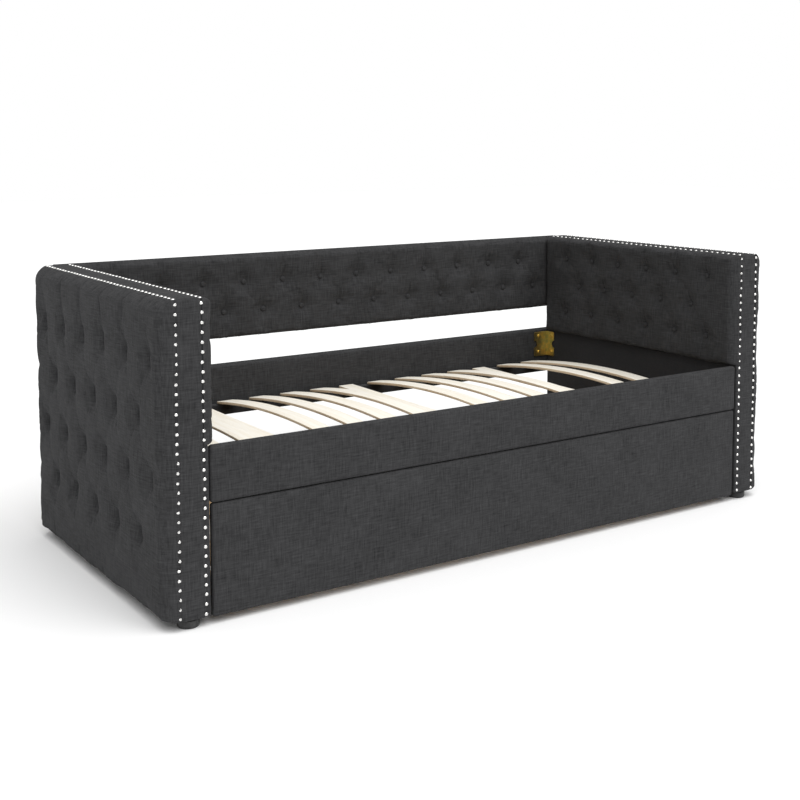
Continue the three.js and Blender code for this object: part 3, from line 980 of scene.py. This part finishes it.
def makeBack():
    s = shellSet
    low, high = corners("back_pad")
    makeButtonedPad(
        "backrest", buttoned["back"], (low[0], low[2]), (high[0], high[2]), 1, high[1], -1, "back_pad",
    )
    low, high = corners("back_frame")
    low[1] -= s["overlap"]
    high[1] = corners("back_cover")[1][1]
    shell = bar(low, high, s["radius"], 0, s["cell"], s["cell"], 5, rippled(*s["ripple"]))
    finish("back_shell", [shell], "linen", replaces=["back_frame", "back_cover"])


def coverPanel(node, name, radius, swell, body):
    low, high = corners(node)
    low[1] += swell
    cover = bar(low, high, radius, 0, panelCell, panelCell, 5, crowned(swell))
    finish(name, [cover], "linen", body, replaces=[node])


makeBack()
for node, given in panels.items():
    coverPanel(node, *given)
for node in ("front_slat_ledger", "back_slat_ledger"):
    wrap = bar(*corners(node), ledgerRound, 0, wrapSet["cell"])
    finish(node + "_wrap", [wrap], "lining", replaces=[node])
print("back, rails and trundle front are upholstered")

slatSet = {"thick": 0.009, "edge": 0.0022, "cell": 0.025, "sideCell": 0.02}


def bowed(rise):
    # whole strip lifted by rise * (1 - t^2), t from -1 to 1 along Y
    def form(rings):
        y = rings[..., 1]
        t = 2 * (y - y.min()) / (y.max() - y.min()) - 1
        rings[..., 2] += rise * (1 - t ** 2)
    return form


def laySlat(node):
    s = slatSet
    low, high = corners(node)
    top = np.array([high[0], high[1], low[2] + s["thick"]])
    strip = bar(low, top, s["edge"], 1, s["cell"], s["sideCell"], 2, bowed(high[2] - top[2]))
    # the sides take a darker copy of the wood: partly their own grain and finish, partly painted shade
    finish(node + "_wood", [strip], "slatFace", replaces=[node], sideShadeLook="slatSideShaded")


for node in sorted(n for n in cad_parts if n.startswith(("slat_", "cross_bar_"))):
    laySlat(node)
print("slats are laid")

trundleSet = {
    "boardEdge": 0.002,
    "boardCell": 0.05,
    "endBoard": 0.018,
    "cleatGap": 0.0003,
    "slats": 11,
    "slatWide": 0.075,
    "slatThick": 0.015,
    "slatSideShaded": 0.003,
}
strapSet = {
    "inFromEnds": (0.1824, 0.2567),  # from the front and the rear ends of the deck's slats
    "half": 0.019,
    "under": (0.0172, 0.0154),  # lower and upper face, down from the deck's top
    "short": 0.004,
    "edge": 0.0008,
    "cell": 0.012,
    "sag": 0.0008,
    "stapleOut": 0.012,
    "stapleDown": 0.0002,
    "staple": (0.0022, 0.0008),
}
deckLow, deckHigh = corners("trundle_deck_slats")
slatLefts = np.linspace(deckLow[0], deckHigh[0] - trundleSet["slatWide"], trundleSet["slats"])
slatMiddles = slatLefts + trundleSet["slatWide"] / 2


def makeEndBoard(node, name, cleatStart, cleatEnd, boardStart, boardEnd):
    # an upright board with a cleat under the deck's slats; each takes its share of the depth
    s = trundleSet
    low, high = corners(node)
    cleatTop = deckLow[2] - s["cleatGap"]
    board = (low[0], boardStart, low[2]), (high[0], boardEnd, high[2])
    cleat = (low[0], cleatStart, low[2]), (high[0], cleatEnd, cleatTop)
    parts = [bar(*box, s["boardEdge"], 0, s["boardCell"]) for box in (board, cleat)]
    finish(name, parts, "pineAcross", "trundle", [node])


def makeTrundleFrame():
    s = trundleSet
    for node in ("trundle_left_board", "trundle_right_board"):
        board = bar(*corners(node), s["boardEdge"], 1, s["boardCell"])
        finish(node + "_pine", [board], "pine", "trundle", [node])
    low, high = corners("trundle_front_batten")
    joint = low[1] + s["endBoard"]
    makeEndBoard("trundle_front_batten", "trundle_front_batten_pine", joint, high[1], low[1], joint)
    low, high = corners("trundle_back_board")
    joint = high[1] - s["endBoard"]
    makeEndBoard("trundle_back_board", "trundle_back_board_pine", low[1], joint, joint, high[1])


def sagging(rings):
    # webbing goes under every slat and rises between them: sag * (1 + cos(2 pi x / pitch)) lower, x from
    # a slat's middle
    pitch = slatLefts[1] - slatLefts[0]
    wave = np.cos(2 * np.pi * (rings[..., 0] - slatMiddles[0]) / pitch)
    rings[..., 2] -= strapSet["sag"] * (1 + wave)


def makeDeck():
    s, t = trundleSet, strapSet
    top, bottom = deckHigh[2], deckHigh[2] - s["slatThick"]
    slats = [
        bar((x, deckLow[1], bottom), (x + s["slatWide"], deckHigh[1], top), s["slatSideShaded"], 1, s["boardCell"])
        for x in slatLefts
    ]
    finish("trundle_deck_wood", slats, "pine", "trundle", ["trundle_deck_slats"])
    strapYs = (deckLow[1] + t["inFromEnds"][0], deckHigh[1] - t["inFromEnds"][1])
    lowX, highX = deckLow[0] + t["short"], deckHigh[0] - t["short"]
    lowZ, highZ = top - t["under"][0], top - t["under"][1]
    straps = [
        bar((lowX, y - t["half"], lowZ), (highX, y + t["half"], highZ), t["edge"], 0, t["cell"], form=sagging)
        for y in strapYs
    ]
    finish("trundle_deck_straps", straps, "webbing", "trundle")
    stapleXs = [x + out for x in slatMiddles for out in (-t["stapleOut"], t["stapleOut"])]
    heads = np.array([[x, y, top - t["stapleDown"]] for y in strapYs for x in stapleXs])
    staples = domes(heads, np.repeat([[0.0, 0.0, 1.0]], len(heads), 0), *t["staple"], nailRings, sides=8)
    finish("trundle_deck_staples", [staples], "steel", "trundle")


makeTrundleFrame()
makeDeck()
print("trundle is built")

footProfile = [
    (0.0245, 0.0), (0.0272, 0.0009), (0.0286, 0.0030), (0.029, 0.0065),
    (0.029, 0.0165), (0.0280, 0.0200), (0.0245, 0.0222), (0.0235, 0.026),
]
wheelSet = {
    "radius": 0.025,
    "half": 0.009,
    "bore": 0.0041,
    "hub": 0.0102,
    "web": (0.0112, 0.0178, 0.0015, 0.0018),  # inner and outer radius, how deep it lies at each
    "tread": [(0.0192, 0.0003), (0.0226, 0.0004), (0.0244, 0.0026), (0.0249, 0.0055)],
}
forkSet = {
    "gap": 0.0015,  # between wheel and cheek
    "sheet": 0.0025,
    "plate": 0.003,
    "plateHalf": 0.028,
    "plateEdge": 0.0012,
    "plateCell": 0.01,
    "top": 0.058,
    "cheekHalf": 0.014,
    "below": 0.010,  # cheek's end under the axle
    "narrow": 0.75,
    "cheekEdge": 0.0009,
    "cheekCell": 0.002,
    "into": 0.0015,
    "axle": 0.004,
    "head": [(0.0058, 0.0002), (0.0052, 0.0018), (0.0026, 0.0022)],  # radius, height over the cheek
}


def makeFoot(node):
    low, high = corners(node)
    centre = ((low[0] + high[0]) / 2, (low[1] + high[1]) / 2, low[2])
    glide = turned(footProfile, centre, sides=48)
    finish(node + "_glide", [glide], "plastic", replaces=[node], sharp=0.6)


def wheelProfile():
    # hub ring, dished web and rounded tread, mirrored over the middle and closed through the bore
    s = wheelSet
    h, (webIn, webOut, dipIn, dipOut) = s["half"], s["web"]
    face = [(s["bore"], h), (s["hub"], h), (webIn, h - dipIn), (webOut, h - dipOut)]
    face += [(r, h - down) for r, down in s["tread"]]
    return [(r, -z) for r, z in face] + [(s["radius"], 0)] + face[::-1]


def roundEnd(axle):
    # below the axle the cheek narrows by sqrt(1 - n d^2), d from 0 to 1 down to its end
    def form(rings):
        down = np.clip((axle[2] - rings[..., 2]) / forkSet["below"], 0, 1)
        rings[..., 1] = axle[1] + (rings[..., 1] - axle[1]) * np.sqrt(1 - forkSet["narrow"] * down ** 2)
    return form


def makeCaster(wheel, fork):
    s = forkSet
    low, high = corners(wheel)
    centre = (low + high) / 2
    tyre = turned(wheelProfile(), centre, axis=0, sides=40, ringed=True)
    finish(wheel + "_tyre", [tyre], "rubber", wheel, [wheel], sharp=0.6)
    inner = wheelSet["half"] + s["gap"]
    outer = inner + s["sheet"]
    top = s["top"] - centre[2]
    plateLow, plateHigh = [-outer, -s["plateHalf"], top - s["plate"]], [outer, s["plateHalf"], top]
    parts = [bar(centre + plateLow, centre + plateHigh, s["plateEdge"], 1, s["plateCell"])]
    for near, far in ((-outer, -inner), (inner, outer)):
        cheekLow, cheekHigh = [near, -s["cheekHalf"], -s["below"]], [far, s["cheekHalf"], top - s["into"]]
        ends = centre + cheekLow, centre + cheekHigh
        parts.append(bar(*ends, s["cheekEdge"], 2, s["cheekCell"], form=roundEnd(centre)))
    finish(fork + "_plate", parts, "plastic", "trundle", [fork], sharp=0.6)
    head = [(radius, outer + over) for radius, over in s["head"]]
    pin = [(radius, -along) for radius, along in head[::-1]]
    pin += [(s["axle"], -outer), (s["axle"], outer)] + head
    finish(fork + "_axle", [turned(pin, centre, axis=0, sides=20)], "steel", "trundle", sharp=0.6)


for node in sorted(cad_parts):
    if node.endswith("_foot"):
        makeFoot(node)
    elif node.endswith("_caster_wheel"):
        makeCaster(node, node.replace("wheel", "fork"))
for node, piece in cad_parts.items():
    if piece.hide_render:
        continue
    look = "pine"
    if "arm_frame" in node:
        look = "lining"
    elif "bracket" in node:
        look = "zinc"
    for slot in piece.material_slots:
        slot.material = looks[look]
print("hardware is finished")
